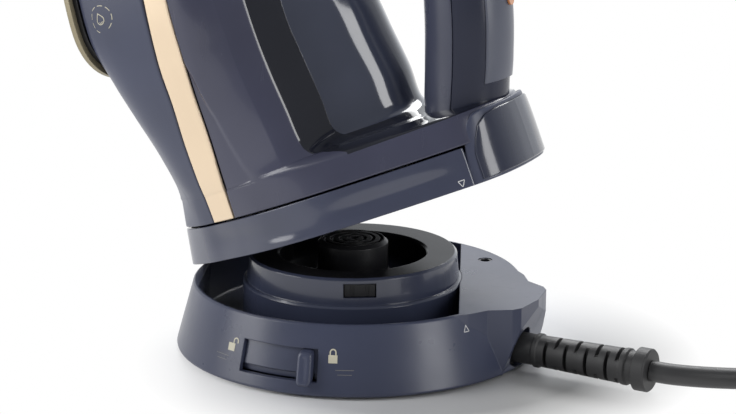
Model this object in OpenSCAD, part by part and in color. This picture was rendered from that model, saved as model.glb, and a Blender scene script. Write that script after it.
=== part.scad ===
// Cordless steam iron with its round docking base and cord.
// Origin: centre of the base on the floor, +Z up, millimetres.

/* [Docking] */
// Lift of the heel above its docked position, degrees
tilt = 21; // [15:0.5:22]
// Height of the base rim above the floor
rim_z = 28; // [27.5:0.1:28.5]

/* [Base] */
// Radius of the base at its foot edge
base_r = 75; // [74.5:0.1:76]
// Radius of the rim at its top edge
rim_r = 67.8; // [67.4:0.1:68.2]
// Radius of the docking ring at its top
ring_r = 43; // [42.6:0.1:43.4]
// Radius of the connector boss
boss_r = 14.5; // [13.5:0.1:15]

/* [Lock] */
// Width of the slider knob, degrees round the base
knob_w = 6.6; // [5:0.1:8]
// Position of the knob round the base, degrees
knob_a = -80.6; // [-81:0.1:-80.4]

/* [Iron] */
// Wall thickness of the body shells
shell_t = 2.2; // [1.8:0.1:2.6]
// Wall thickness of the handle shells
grip_t = 2.6; // [2:0.1:3]
// Thickness of the soleplate
sole_t = 3; // [2.6:0.1:3.2]
// Lean of the soleplate from the heel's normal, degrees
sole_lean = 5.71; // [5.5:0.01:5.9]

/* [Cord] */
// Diameter of the cord
cord_d = 8.2; // [7.6:0.1:8.4]
// Mean diameter of the wound coil
coil_d = 90.4; // [90:0.1:91]

/* [Hidden] */
$fn = 96;

navy = [0.23, 0.26, 0.37];
gloss = [0.13, 0.15, 0.23];
black = [0.08, 0.08, 0.10];
steel = [0.72, 0.73, 0.75];
gold = [0.86, 0.76, 0.64];

// Base layout: the ring stands a little off the centre of the base
ring_x = -2;
side_a = 22;
bolt_as = [-61, 59, 179];
bolt_in = 40.3;
pivot_x = -67;

// Radius of the outer wall at height z
function wall_r(z) = base_r + (rim_r - base_r) * (z - 2.2) / (rim_z - 2.8);

// Catmull-Rom spline through a list of points
function pick(a, i) = a[max(0, min(len(a) - 1, i))];
function cr(p, q, r, s, t) = 0.5 * (2 * q + (r - p) * t + (2 * p - 5 * q + 4 * r - s) * t * t
    + (3 * q - p - 3 * r + s) * t * t * t);
function along(a, u) = let (i = floor(min(max(u, 0), len(a) - 1.0001)), t = u - i)
    cr(pick(a, i - 1), pick(a, i), pick(a, i + 1), pick(a, i + 2), t);

// Body stations from heel to nose: height along the iron, then [x, half width] from the sole
// side to the crown. Points 4 and 5 are the edges of the gold strip, point 7 is the rim.
stations = [
    [1.6, [[0, 0], [1.3, 12], [5, 22], [20, 33.5], [31.4, 38.7], [44, 44.1], [60, 49.3],
        [80, 49.6], [103, 43.5], [129, 34.5], [146.5, 24.5], [152.5, 0]]],
    [17, [[3, 0], [4.3, 12], [8, 22], [21, 33], [31.4, 38.1], [44, 43.6], [60, 48.3],
        [80, 48.2], [103, 42.5], [129, 33.5], [145.5, 23.6], [151.5, 0]]],
    [27.6, [[4, 0], [5.2, 12.5], [8.6, 23], [21, 34.5], [32.1, 39.6], [44.8, 44.8], [60, 48],
        [78, 47.5], [100, 42], [127, 33], [144, 23], [150, 0]]],
    [29.6, [[4, 0], [5.2, 13], [8.6, 23.6], [21, 35], [32.2, 40.1], [44.9, 45.1], [59, 48],
        [75.5, 47], [91, 42], [113, 31], [130, 20], [137, 0]]],
    [31, [[4, 0], [5.1, 13], [8.5, 24], [21, 35.5], [32.4, 40.6], [45.1, 45.6], [58.6, 48],
        [74, 46.6], [84.5, 42], [99, 28.5], [117, 17], [123, 0]]],
    [37, [[3.7, 0], [4.6, 13.5], [8, 25.5], [20, 37], [32.9, 42.1], [45.9, 46.6], [58, 48],
        [72.5, 46.2], [80, 41.5], [88.5, 26.5], [107, 15], [113.5, 0]]],
    [52, [[3, 0], [3.5, 15], [6.5, 29], [18.5, 40], [34.7, 45.2], [47.8, 48.7], [57, 49.5],
        [71, 46.5], [78.5, 41.5], [87, 26], [105.5, 15.5], [112.5, 0]]],
    [68, [[3, 0], [3.3, 17], [5.2, 33], [17, 43.5], [37.4, 48.5], [49.2, 50.8], [56.5, 51],
        [69, 47], [77, 41.5], [85.5, 26], [103, 16], [110.5, 0]]],
    [84, [[5.6, 0], [5.7, 19], [6.8, 37.5], [17, 47], [38.8, 50.8], [50.9, 52.5], [57.5, 52.3],
        [68.5, 47.5], [76.5, 41.5], [84, 26], [101, 16], [108.5, 0]]],
    [103, [[8.7, 0], [8.8, 22], [9.6, 44.5], [18, 50.5], [42, 52.6], [52.5, 53.2], [60, 52.8],
        [68.8, 48], [77, 41.5], [84.5, 26.5], [98, 16], [104, 0]]],
    [130, [[11.4, 0], [11.5, 21.5], [12.2, 43.5], [20, 48.8], [45.5, 51], [55, 51.2], [62, 50.5],
        [69.5, 46], [77, 39.5], [83.5, 26], [93, 16], [98, 0]]],
    [160, [[14.4, 0], [14.5, 18.5], [15.1, 37.5], [22, 43.7], [48, 45.6], [57, 45.5], [63, 44.6],
        [69, 40.5], [75.5, 35], [81, 24.5], [88, 15], [92, 0]]],
    [190, [[17.4, 0], [17.5, 15], [18.1, 30.2], [25, 35.6], [49, 37], [57.5, 36.6], [62.5, 35.6],
        [67.5, 32.5], [73, 28.5], [78, 20.5], [83.5, 12.5], [86.5, 0]]],
    [220, [[20.4, 0], [20.5, 10.5], [21.1, 21.5], [27, 26], [48, 27], [55.5, 26.4], [60, 25.5],
        [64, 23.5], [68.5, 20.5], [73, 15], [77, 9], [79, 0]]],
    [248, [[23.2, 0], [23.3, 6], [23.7, 12], [28, 15.2], [43, 16], [49.5, 15.4], [53, 14.6],
        [56, 13.2], [59.5, 11.3], [63, 8.4], [65.5, 5], [66.5, 0]]],
    [270, [[25.4, 0], [25.5, 3.2], [25.8, 6], [28.5, 8], [36.5, 8.4], [41, 8], [43.3, 7.5],
        [45.4, 6.8], [47.6, 5.8], [49.6, 4.3], [51, 2.6], [51.6, 0]]],
    [279, [[26.3, 0], [26.4, 1.6], [26.5, 3], [28.2, 4], [32.4, 4.3], [35.4, 4.1], [37, 3.8],
        [38.6, 3.4], [40, 2.9], [41.3, 2.2], [42.2, 1.3], [42.6, 0]]]];
crown = 11;
nose_v = len(stations) - 1;

// Point of station s at index k, mirrored past the sole side and past the crown
function half_pt(s, k) = let (p = stations[s][1][k]) [p[0], -p[1], stations[s][0]];
function flip(p) = [p[0], -p[1], p[2]];
function grid(s, k) = k < -crown ? half_pt(s, 2 * crown + k) : k < 0 ? flip(half_pt(s, -k))
    : k > crown ? flip(half_pt(s, 2 * crown - k)) : half_pt(s, k);
function row(s, u) = let (i = floor(u), t = u - i)
    cr(grid(s, i - 1), grid(s, i), grid(s, i + 1), grid(s, i + 2), t);
function clamp_s(s) = max(0, min(nose_v, s));
function body(u, v) = let (i = floor(min(v, nose_v - 0.0001)), t = v - i)
    cr(row(clamp_s(i - 1), u), row(i, u), row(clamp_s(i + 1), u), row(clamp_s(i + 2), u), t);

// Handle stations along its length: [x, z, half depth, half width, lean of the section]
handle_at = [[134.5, 29.2, 17.6, 18, 0], [137, 36, 17.4, 17.4, 5], [141.5, 47, 17.2, 17, 12],
    [148, 65, 17, 17, 15.5], [154, 88, 16.5, 16.5, 11.5], [157.5, 112, 16, 16, 4.5],
    [157.5, 136, 15.5, 16, -5], [153, 158, 15.5, 16.5, -18], [142, 178, 16, 17, -33],
    [125, 193.5, 15.5, 17, -47], [106, 204.5, 14.5, 16.5, -56], [88, 212.5, 13.5, 15.5, -62],
    [71, 218.5, 12.5, 14.5, -68]];
function handle(u, v) = let (h = along(handle_at, v))
    [h[0] + h[2] * cos(u) * cos(h[4]), -h[3] * sin(u), h[1] - h[2] * cos(u) * sin(h[4])];

function unit(v) = v / max(norm(v), 0.000001);
function body_n(u, v) = unit(cross(body(u + 0.02, v) - body(u - 0.02, v),
    body(u, min(v + 0.02, nose_v)) - body(u, max(v - 0.02, 0))));
// Outward normal of the handle's outer face
function handle_n(u, v) = -unit(cross(handle(u + 0.5, v) - handle(u - 0.5, v),
    handle(u, min(v + 0.02, len(handle_at) - 1)) - handle(u, max(v - 0.02, 0))));
// body() is the inner face of the shells, and d is the depth below their outer face
function body_off(u, v, d) = body(u, v) + body_n(u, v) * (shell_t - d);
function handle_off(u, v, d) = handle(u, v) - handle_n(u, v) * d;

// Closed wall between two grids of points, nu by nv cells. The solid lies on the side of a that its
// rows and columns turn away from, so body grids start with the outer face and handle grids the inner
module wall(a, b, nu, nv) {
    m = (nu + 1) * (nv + 1);
    w = nu + 1;
    polyhedron(points = concat(a, b), faces = concat(
        [for (j = [0:nv - 1], i = [0:nu - 1], k = [0, 1])
            let (p = j * w + i) k == 0 ? [p, p + w, p + w + 1] : [p, p + w + 1, p + 1]],
        [for (j = [0:nv - 1], i = [0:nu - 1], k = [0, 1])
            let (p = m + j * w + i) k == 0 ? [p, p + w + 1, p + w] : [p, p + 1, p + w + 1]],
        [for (j = [0:nv - 1]) let (p = j * w) [p, p + m, p + m + w, p + w]],
        [for (j = [0:nv - 1]) let (p = j * w + nu) [p, p + w, p + m + w, p + m]],
        [for (i = [0:nu - 1]) [i, i + 1, m + i + 1, m + i]],
        [for (i = [0:nu - 1]) let (p = nv * w + i) [p, p + m, p + m + 1, p + 1]]), convexity = 6);
}
module body_wall(u0, u1, nu, v0, v1, nv, top, bottom) {
    wall([for (j = [0:nv], i = [0:nu]) body_off(u0 + (u1 - u0) * i / nu, v0 + (v1 - v0) * j / nv, top)],
        [for (j = [0:nv], i = [0:nu]) body_off(u0 + (u1 - u0) * i / nu, v0 + (v1 - v0) * j / nv, bottom)],
        nu, nv);
}
module handle_wall(u0, u1, nu, v0, v1, nv, top, bottom) {
    wall([for (j = [0:nv], i = [0:nu]) handle_off(u0 + (u1 - u0) * i / nu, v0 + (v1 - v0) * j / nv, bottom)],
        [for (j = [0:nv], i = [0:nu]) handle_off(u0 + (u1 - u0) * i / nu, v0 + (v1 - v0) * j / nv, top)],
        nu, nv);
}

// Heel outline in its own plane, d outside the skin
function heel_pt(u, v, d) = let (p = body(u, v), q = body(u + 0.02, v) - body(u - 0.02, v),
    n = unit([q[1], -q[0]])) [p[0], p[1]] + n * d;
module heel_outline(v, d) {
    polygon([for (i = [-32:32]) heel_pt(i / 3, v, d)]);
}

// Frames
module iron_frame() {
    translate([pivot_x, 0, rim_z]) rotate([0, -tilt, 0]) children();
}
module sole_frame() {
    iron_frame() translate([1, 0, 84]) rotate([0, sole_lean, 0]) children();
}
module handle_frame(v) {
    h = along(handle_at, v);
    iron_frame() translate([h[0] + h[2] * cos(h[4]), 0, h[1] - h[2] * sin(h[4])])
        rotate([0, 90 + h[4], 0]) children();
}

// Plan of the cord lug, and a half plane right of a line across the base
lug = [[40, -52], [62, -30.5], [67, -22.5], [75.5, -17.5], [78, -14], [80, 0], [78, 14], [75.5, 17.5],
    [67, 22.5], [62, 30.5], [40, 52], [20, 0]];
lug_in = [[38, -47], [59.5, -30], [64.5, -20.5], [73.5, -15.6], [75.6, -12.6], [77.2, 0], [75.6, 12.6],
    [73.5, 15.6], [64.5, 20.5], [59.5, 30], [38, 47], [24, 0]];
module right_of(d, z0, z1) {
    rotate([0, 0, side_a]) translate([d, -100, z0]) cube([200, 200, z1 - z0]);
}
// Sector ring about the base's axis
module sector(r0, r1, a0, a1, z0, z1) {
    rotate([0, 0, a0]) rotate_extrude(angle = a1 - a0, $fn = 180) polygon([[r0, z0], [r1, z0], [r1, z1],
        [r0, z1]]);
}

// ---- Base ----
module base_shell() color(navy) difference() {
    union() {
        rotate_extrude($fn = 180) polygon([[0, 1], [base_r - 0.9, 1], [base_r - 0.2, 1.4], [base_r, 2.2],
            [rim_r, rim_z - 0.6], [rim_r - 0.6, rim_z], [0, rim_z]]);
        difference() {
            translate([0, 0, 1]) linear_extrude(rim_z - 1) polygon(lug);
            translate([80.6, -30, 27]) rotate([0, 18, 0]) translate([0, 0, -40]) cube([20, 60, 40]);
        }
    }
    // channel round the ring, with its straight edges
    difference() {
        rotate_extrude($fn = 180) polygon([[0, 11], [64.6, 11], [65.2, 11.6], [66.2, rim_z - 0.5],
            [66.5, rim_z + 1], [0, rim_z + 1]]);
        right_of(42.5, 0, 40);
        rotate([0, 0, 180]) right_of(63.8, 0, 40);
    }
    // space under the channel and under the shelf
    translate([0, 0, -1]) cylinder(r = 71.6, h = 10, $fn = 180);
    intersection() {
        translate([0, 0, -1]) cylinder(r = 64.5, h = 26.4, $fn = 180);
        right_of(44.8, -2, 40);
    }
    difference() {
        translate([0, 0, -1]) linear_extrude(26.4) polygon(lug_in);
        rotate([0, 0, 180]) right_of(-44.8, -2, 40);
        translate([77.9, -30, 27]) rotate([0, 18, 0]) translate([0, 0, -40]) cube([20, 60, 40]);
    }
    // opening for the ring's inner parts
    translate([ring_x, 0, 5]) cylinder(r = 41.5, h = 8);
    // seat of the docking ring in the shelf
    translate([ring_x, 0, 0]) rotate_extrude($fn = 180)
        polygon([[0, 11.02], [45.94, 11.02], [45.64, 27.24], [44.94, 28.1], [0, 28.1]]);
    // slider pocket and the slot behind it
    rotate([0, 0, -103.4]) rotate_extrude(angle = 26.4, $fn = 180)
        polygon([[wall_r(6.4) - 2.4, 6.4], [wall_r(18.7) - 2.4, 18.7], [90, 18.7], [90, 6.4]]);
    sector(66, 80, -103.4, -77, 6.4, 8.9);
    // cord outlet
    translate([68, -6.3, 9.6]) rotate([0, 90, -6.1]) cylinder(r = 8.4, h = 20);
    // sight hole in the shelf
    rotate([0, 0, side_a]) translate([52.9, 26.9, 20]) cylinder(r = 3, h = 20);
}
module base_plate() color(black) translate([0, 0, 1.2]) difference() {
    union() {
        cylinder(r = 71.2, h = 2, $fn = 180);
        intersection() {
            linear_extrude(2) polygon([for (p = lug_in) [p[0] - 0.4, p[1] * 0.97]]);
            translate([0, -60, 0]) cube([68.4, 120, 2]);
        }
    }
    for (a = [45:90:315]) rotate([0, 0, a]) translate([56, 0, -1]) cylinder(r = 1.7, h = 4);
    translate([67.5, -6.3, 8.4]) rotate([0, 90, boot_a]) cylinder(r = 8.05, h = 8);
}
module foot() {
    cylinder(r1 = 6.2, r2 = 6.6, h = 0.5);
    translate([0, 0, 0.5]) cylinder(r = 6.6, h = 0.7);
}
module base_feet() color(black) {
    foot();
    for (a = [0:90:270]) rotate([0, 0, a + 15]) translate([60, 0, 0]) foot();
}
module base_screws() color(steel) for (a = [45:90:315]) rotate([0, 0, a]) translate([56, 0, 0.7]) {
    difference() {
        translate([0, 0, -0.1]) cylinder(r = 3, h = 0.6);
        translate([-2, -0.4, -0.2]) cube([4, 0.8, 0.4]);
        translate([-0.4, -2, -0.2]) cube([0.8, 4, 0.4]);
    }
    cylinder(r = 1.6, h = 2.5);
}
module docking_ring() color(gloss) translate([ring_x, 0, 0]) difference() {
    rotate_extrude($fn = 180) polygon([[43.6, 11], [45.9, 11], [45.6, 27.2], [44.9, 28], [44, 28],
        [ring_r + 0.1, 38.1], [ring_r - 0.8, 39], [31.2, 38.8], [30.3, 38], [29.8, 30], [29.8, 28.2],
        [31.8, 28.2], [32.2, 36.5], [40.4, 36.5], [41.4, 28], [43.2, 26]]);
    for (a = bolt_as) rotate([0, 0, a]) translate([38, -6.5, 31.2]) cube([12, 13, 5.6]);
}
module ring_floor() color(gloss) translate([ring_x, 0, 0]) difference() {
    rotate_extrude($fn = 180) polygon([[15.6, 28.2], [29.78, 28.2], [29.78, 30], [15.6, 30]]);
    rotate([0, 0, 222]) translate([20, 0, 25]) cylinder(r = 2.6, h = 10);
}
module slot_liner() color(black) rotate([0, 0, -103.1]) rotate_extrude(angle = 25.8, $fn = 180)
    polygon([[wall_r(9.2) - 2.3, 9.2], [wall_r(18.6) - 2.3, 18.6], [wall_r(18.6) - 1.7, 18.6],
        [wall_r(9.2) - 1.7, 9.2]]);
module connector_body() color(black) translate([ring_x, 0, 0]) rotate_extrude()
    polygon([[2.2, 22], [24, 22], [24, 28], [15, 28], [15, 30.6], [boss_r, 31], [boss_r, 42.6],
        [boss_r - 1.4, 44],
        [12.6, 44], [12.6, 41], [11.2, 41], [11.2, 44], [9.4, 44], [9.4, 41], [8, 41], [8, 44], [5.8, 44],
        [5.8, 41], [4.4, 41], [4.4, 44], [2.2, 44]]);
module contact_rings() color(steel) translate([ring_x, 0, 0]) for (r = [4.5, 8.1, 11.3])
    rotate_extrude() polygon([[r + 0.1, 41.05], [r + 1.1, 41.05], [r + 1.1, 43], [r + 0.1, 43]]);
module centre_contact() color(steel) translate([ring_x, 0, 0]) {
    translate([0, 0, 30]) cylinder(r = 2.1, h = 12.6);
    translate([0, 0, 42.6]) cylinder(r1 = 2.1, r2 = 1.5, h = 0.6);
}
module dock_sensor() color(black) translate([ring_x, 0, 0]) rotate([0, 0, 222]) translate([20, 0, 0]) {
    translate([0, 0, 28.05]) cylinder(r = 2.5, h = 2.6);
    translate([-1.2, -2, 30.65]) cube([2.4, 4, 2.4]);
}
module shelf_bush() color(black) rotate([0, 0, side_a]) translate([52.9, 26.9, 0]) difference() {
    union() {
        translate([0, 0, 25.6]) cylinder(r = 2.9, h = 2.1);
        translate([0, 0, 23.4]) cylinder(r = 4.6, h = 1.9);
        translate([0, 0, 25]) cylinder(r = 2.9, h = 1);
    }
    translate([0, 0, 24.4]) cylinder(r = 2, h = 5);
}
module connector_post() color(black) translate([ring_x, 0, 0]) difference() {
    union() {
        translate([0, 0, 3.2]) cylinder(r = 12, h = 18.8);
        translate([0, 0, 3.2]) cylinder(r = 20, h = 1.6);
    }
    translate([0, 0, 5]) cylinder(r = 10, h = 18);
}
module terminal_block() color([0.85, 0.85, 0.8]) translate([60.6, -16, 12]) difference() {
    union() {
        cube([7.6, 20, 10]);
        translate([0.6, 8, -8.8]) cube([3, 4, 9]);
    }
    for (y = [3.5, 10, 16.5]) translate([3.8, y, 4]) cylinder(r = 1.6, h = 8);
}

// ---- Cord ----
boot_a = -6.1;
module strain_relief() color(black) translate([69.5, -6.5, 9.6]) rotate([0, 0, boot_a]) difference() {
    rotate([0, 90, 0]) rotate_extrude($fn = 64) polygon([[0, 0], [8, 0], [8, 2], [6.3, 2.6], [6.2, 13],
        [6.9, 13.6],
        [6.9, 15], [6.3, 15.6], [7, 50.5], [7.3, 51.5], [7.3, 53], [6.6, 53.6], [6.6, 56], [8.5, 57],
            [8.5, 61.6],
        [8, 62.2], [0, 62.2]]);
    for (i = [0:3]) for (s = [-1, 1]) {
        translate([18.6 + 8.8 * i, s * 6.4 - 3, -9]) cube([1.5, 6, 18]);
        translate([23 + 8.8 * i, -9, s * 6.4 - 3]) cube([1.5, 18, 6]);
    }
}
// Swept round tube through a list of points
function route_t(a, u) = unit(along(a, min(u + 0.05, len(a) - 1)) - along(a, max(u - 0.05, 0)));
module tube(a, rings, sides, r) {
    polyhedron(points = [for (j = [0:rings]) let (u = (len(a) - 1)
        * j / rings, c = along(a, u), t = route_t(a, u),
        s = unit(cross(t, [0, 0, 1])), w = cross(t, s)) for (i = [0:sides - 1])
            c + r * (cos(360 * i / sides) * s + sin(360 * i / sides) * w)],
        faces = concat([[for (i = [0:sides - 1]) i]],
            [for (j = [0:rings - 1], i = [0:sides - 1]) let (n = (i + 1) % sides)
                [j * sides + i, (j + 1) * sides + i, (j + 1) * sides + n, j * sides + n]],
            [[for (i = [sides - 1:-1:0]) rings * sides + i]]), convexity = 6);
}
coil_x = 243.3;
coil_y = -17.4;
run_pts = [[131.4, -13.1, 9.6], [140, -12.6, 9.2], [152, -7.5, 8.2], [166, 1.5, 6.8], [182, 13, 5.4],
    [199, 25, 4.4], [219, 34.8, 4.2]];
tail_pts = [[272.1, 32.5, 12.5], [290, 23, 13.2], [307, 17, 15.4], [323, 14.4, 17.5], [340, 14, 18]];
module cord_run() color([0.13, 0.13, 0.14]) tube(run_pts, 12, 12, cord_d / 2);
module cord_coil() color([0.13, 0.13, 0.14]) translate([coil_x, coil_y, 0]) rotate_extrude($fn = 72)
    polygon([[coil_d / 2 - 16.4, 1.2], [coil_d / 2 - 15.2, 0.1], [coil_d / 2 + 15.2, 0.1],
        [coil_d / 2 + 16.4, 1.2],
        [coil_d / 2 + 16.4, 15.5], [coil_d / 2 + 15.2, 16.6], [coil_d / 2 - 15.2, 16.6],
            [coil_d / 2 - 16.4, 15.5]]);
module cord_tail() color([0.13, 0.13, 0.14]) tube(tail_pts, 8, 12, cord_d / 2);
module plug_body() color(black) translate([340, 14, 18]) rotate([0, 90, 0]) rotate_extrude($fn = 72)
    polygon([[0, 0], [5.4, 0], [5.8, 1], [6.6, 16], [8, 17], [8, 20], [13, 23], [17.4, 29], [17.9, 33],
        [17.9, 50],
        [17.2, 51], [0, 51]]);
module plug_pins() color(steel) for (s = [-1, 1]) translate([391, 14 + s * 9.5, 18]) rotate([0, 90, 0]) {
    cylinder(r = 2.4, h = 17.6);
    translate([0, 0, 17.6]) cylinder(r1 = 2.4, r2 = 1.4, h = 1.4);
}

// ---- Lock ----
module lock_ring() color(black) {
    difference() {
        translate([0, 0, 5.8]) cylinder(r = 60, h = 2);
        translate([0, 0, 5]) cylinder(r = 33.5, h = 4);
    }
    sector(58, wall_r(7) - 2.6, knob_a - 2.4, knob_a + 2.4, 6.7, 7.6);
    for (a = bolt_as) translate([ring_x, 0, 0]) rotate([0, 0, a]) translate([36.6, -2.4, 7.3])
        cube([2.6, 4.8, 26.5]);
}
module lock_knob() color(navy) {
    rotate([0, 0, knob_a - knob_w / 2]) rotate_extrude(angle = knob_w, $fn = 180)
        polygon([[wall_r(5.2) + 0.3, 5.2], [wall_r(5.6) + 2.4, 5.4], [wall_r(6.8) + 3.1, 6.8],
            [wall_r(17.2) + 3.1, 17.2],
            [wall_r(18.4) + 2.2, 18.4], [wall_r(18.4) + 0.3, 18.4]]);
    rotate([0, 0, knob_a - knob_w / 2 + 0.8]) rotate_extrude(angle = knob_w - 1.6, $fn = 180)
        polygon([[wall_r(6.7) - 2.6, 6.7], [wall_r(8.6) - 2.6, 8.6], [wall_r(9.4) - 1.3, 9.4], [wall_r(18)
            - 1.3, 18],
            [wall_r(18) + 0.4, 18], [wall_r(6.7) + 0.4, 6.7]]);
}
module lock_bolt(a) {
    color(black) translate([ring_x, 0, 0]) rotate([0, 0, a]) {
        difference() {
            translate([41, -6.1, 31.5]) cube([1.5, 12.2, 5]);
            for (y = [-3, 3]) translate([42.2, y - 0.7, 31]) cube([1, 1.4, 6]);
        }
        translate([bolt_in, -1.9, 31.7]) cube([0.8, 3.8, 3.6]);
    }
}
module lock_bolt_front() lock_bolt(bolt_as[0]);
module lock_bolt_back() lock_bolt(bolt_as[1]);
module lock_bolt_side() lock_bolt(bolt_as[2]);

// ---- Iron ----
module rest_bead() color(black) translate([pivot_x, 0, rim_z + 0.8]) rotate([90, 0, 0])
    cylinder(r = 0.75, h = 20, center = true, $fn = 32);
// Outline of the soleplate from its rear edge to its nose, [half width, distance]
sole_pts = [[0, 0], [14, 0.2], [26, 0.8], [36, 3.2], [43.6, 7.6], [49, 14], [51.6, 22.5], [51.6, 36],
    [49.8, 52],
    [46.2, 70], [41.2, 90], [35, 110], [28, 130], [20.4, 150], [12.6, 170], [6.4, 185], [2.6, 193], [0, 196]];
function sole_xy(u, d) = let (p = along(sole_pts, u), q = along(sole_pts, min(u + 0.05, 17))
    - along(sole_pts, max(u - 0.05, 0)), n = unit([q[1], -q[0]])) [max(p[0] - n[0] * d, 0), p[1] - n[1] * d];
module sole_outline(d) polygon([for (i = [0:50]) let (p = sole_xy(i / 3, d)) [-p[1], p[0]],
    for (i = [50:-1:1]) let (p = sole_xy(i / 3, d)) [-p[1], -p[0]]]);
// Flat plate over the sole, x0 to x1 above its face
module sole_slab(d, x0, x1) sole_frame() translate([x0, 0, 0]) rotate([0, 90, 0]) linear_extrude(x1 - x0)
    sole_outline(d);
// Inset outline with a blunt nose, for the pieces behind the sole
function inset(d) = [for (i = [4:48]) let (p = sole_xy(i / 3, d)) if (p[0] > 2) [-p[1], p[0]]];
module inset_slab(a, x0, x1) sole_frame() translate([x0, 0, 0]) rotate([0, 90, 0]) linear_extrude(x1 - x0)
    polygon(concat(a, [for (i = [len(a) - 1:-1:0]) [a[i][0], -a[i][1]]]));
module soleplate() color([0.62, 0.58, 0.48]) difference() {
    union() {
        sole_slab(1.2, 0, 0.7);
        sole_slab(0.3, 0.7, 1.4);
        sole_slab(0, 1.4, sole_t);
    }
    sole_frame() for (s = [-1, 1]) for (i = [0:8])
        translate([-1, s * (7 + 22 * sin(60 - 5 * i) * (1 - i / 12)), 60 + 13 * i]) rotate([0, 90, 0])
            cylinder(r = 1.1, h = 3, $fn = 24);
    sole_frame() translate([-1, 0, 178]) rotate([0, 90, 0]) cylinder(r = 1.1, h = 3, $fn = 24);
}
module sole_skirt() color(black) inset_slab(inset(2.6), sole_t, 5.2);
module steam_casting() color([0.6, 0.6, 0.62]) difference() {
    inset_slab([[-14, 28], [-22, 36], [-40, 38], [-75, 32], [-115, 22], [-150, 8]], 9.5, 20);
    inset_slab([[-22, 22], [-30, 28], [-45, 29], [-75, 23], [-110, 14], [-130, 5]], 14, 21);
}
module thermostat() color(steel) sole_frame() translate([14.1, 0, 62]) rotate([0, 90, 0]) {
    cylinder(r = 9, h = 5);
    cylinder(r = 4, h = 9);
}
module lower_shell() color(navy) difference() {
    iron_frame() body_wall(-3.96, 3.96, 32, 1.03, nose_v, 38, 0, shell_t);
    // the soleplate is let into the shell
    sole_slab(-0.03, -2, sole_t + 0.02);
}
module gold_strips() color(gold) iron_frame() {
    body_wall(4, 5, 3, 1.03, nose_v - 1.4, 36, -0.15, 1.2);
    body_wall(17, 18, 3, 1.03, nose_v - 1.4, 36, -0.15, 1.2);
}
module upper_shell() color(gloss) iron_frame() difference() {
    body_wall(5.04, 16.96, 36, 1.03, nose_v, 42, 0, shell_t);
    // openings for the filler, its hinge and the dial
    translate([61.5, 0, 247]) rotate([0, 62, 0]) {
        translate([0, 0, -3]) cylinder(r = 8.22, h = 16);
        translate([-12.8, -3.6, 5]) cube([8, 7.2, 8]);
    }
    translate([90, 0, 107]) rotate([0, 84, 0]) translate([0, 0, 16.3]) cylinder(r = 17.4, h = 10);
}
module water_tank() color([0.5, 0.56, 0.66]) iron_frame() translate([40, 0, 0]) rotate([0, 90, 0])
    difference() {
    linear_extrude(24) polygon([[-60, -34], [-110, -36], [-150, -30], [-185, -22], [-202, -17], [-202, 17],
        [-185, 22], [-150, 30], [-110, 36], [-60, 34]]);
    translate([0, 0, 1.6]) linear_extrude(30) polygon([[-62, -32], [-110, -34], [-150, -28], [-185, -20],
        [-200, -15.4], [-200, 15.4], [-185, 20], [-150, 28], [-110, 34], [-62, 32]]);
}
module heel_band() color(navy) iron_frame() body_wall(-9.6, 9.6, 76, 0, 0.97, 4, 0, 2);
module heel_plate() color(black) iron_frame() difference() {
    translate([0, 0, 1.6]) linear_extrude(2) heel_outline(0, -0.1);
    translate([65.3, 0, 0]) cylinder(r = 46.7, h = 6, $fn = 128);
    for (p = [[124, 18], [124, -18]]) translate([p[0], p[1], 0]) cylinder(r = 1.7, h = 6);
}
module heel_socket() color(black) iron_frame() translate([65.3, 0, 0]) difference() {
    rotate_extrude($fn = 128) polygon([[45.5, 1.6], [46.5, 1.6], [46.5, 15], [20, 15], [20, 21], [0, 21],
        [0, 19],
        [18, 19], [18, 11.1], [45.5, 11.1]]);
    for (a = bolt_as) rotate([0, 0, a]) translate([44, -6.6, 3]) cube([2.3, 13.2, 6]);
}
module iron_contacts() color(steel) iron_frame() translate([65.3, 0, 0]) {
    for (r = [4.5, 8.1, 11.3]) rotate_extrude() polygon([[r, 16.4], [r + 1, 16.4], [r + 1, 19], [r, 19]]);
    translate([0, 0, 16.4]) cylinder(r = 1.4, h = 2.6);
}
// Cap over the foot of the handle, a wrapped wall under an arch: plan [x, half width] and arch [x, z]
cap_plan = [[134, 33.2], [140.6, 30.6], [146, 27], [150, 22], [152.6, 15.6], [154, 8], [154.4, 0]];
cap_arch = [[139.8, 2.4], [140.3, 7], [141.4, 14], [143, 20], [145, 25], [147.5, 27.6], [150, 28.4]];
function cap_pt(t, d, z) = let (u = 6 - abs(t), p = along(cap_plan, u),
    q = along(cap_plan, min(u + 0.05, 6)) - along(cap_plan, max(u - 0.05, 0)), n = unit([-q[1], q[0]]))
    [p[0] + n[0] * d, sign(t) * (p[1] + n[1] * d), z];
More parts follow.
